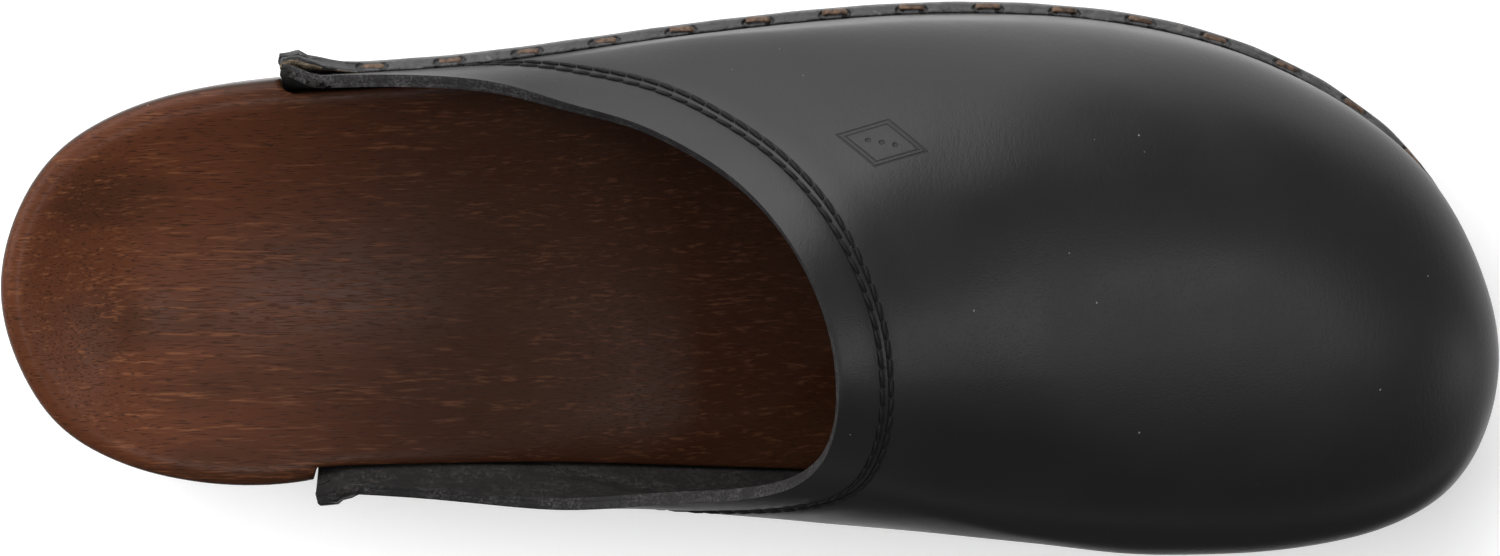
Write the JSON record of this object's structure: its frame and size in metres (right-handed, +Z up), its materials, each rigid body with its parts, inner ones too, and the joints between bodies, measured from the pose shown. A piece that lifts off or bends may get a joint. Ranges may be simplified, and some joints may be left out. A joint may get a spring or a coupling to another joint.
{
  "type": "wooden clog",
  "caption": "Open-backed wooden clog for the left foot, with a black leather upper stapled through a leather strip to a dark stained sole.",
  "frame": {"origin": "under the middle of the shoe's outer box, on the ground", "axes": "+X to the toe, +Y to the outer side of the foot, +Z up"},
  "size_m": [0.2744, 0.0998, 0.0895],
  "materials": {
    "stained_wood": "satin",
    "black_leather": "satin",
    "strip_leather": "satin",
    "staple_wire": "satin"
  },
  "bodies": {
    "root": {"sole": "stained_wood", "upper": "black_leather", "welt_strip": "strip_leather", "staple_01": "staple_wire", "staple_02": "staple_wire", "staple_03": "staple_wire", "staple_04": "staple_wire", "staple_05": "staple_wire", "staple_06": "staple_wire", "staple_07": "staple_wire", "staple_08": "staple_wire", "staple_09": "staple_wire", "staple_10": "staple_wire", "staple_11": "staple_wire", "staple_12": "staple_wire", "staple_13": "staple_wire", "staple_14": "staple_wire", "staple_15": "staple_wire", "staple_16": "staple_wire", "staple_17": "staple_wire", "staple_18": "staple_wire", "staple_19": "staple_wire", "staple_20": "staple_wire", "staple_21": "staple_wire", "staple_22": "staple_wire", "staple_23": "staple_wire", "staple_24": "staple_wire", "staple_25": "staple_wire", "staple_26": "staple_wire", "staple_27": "staple_wire", "staple_28": "staple_wire", "staple_29": "staple_wire", "staple_30": "staple_wire", "staple_31": "staple_wire", "staple_32": "staple_wire", "staple_33": "staple_wire"}
  },
  "joints": []
}
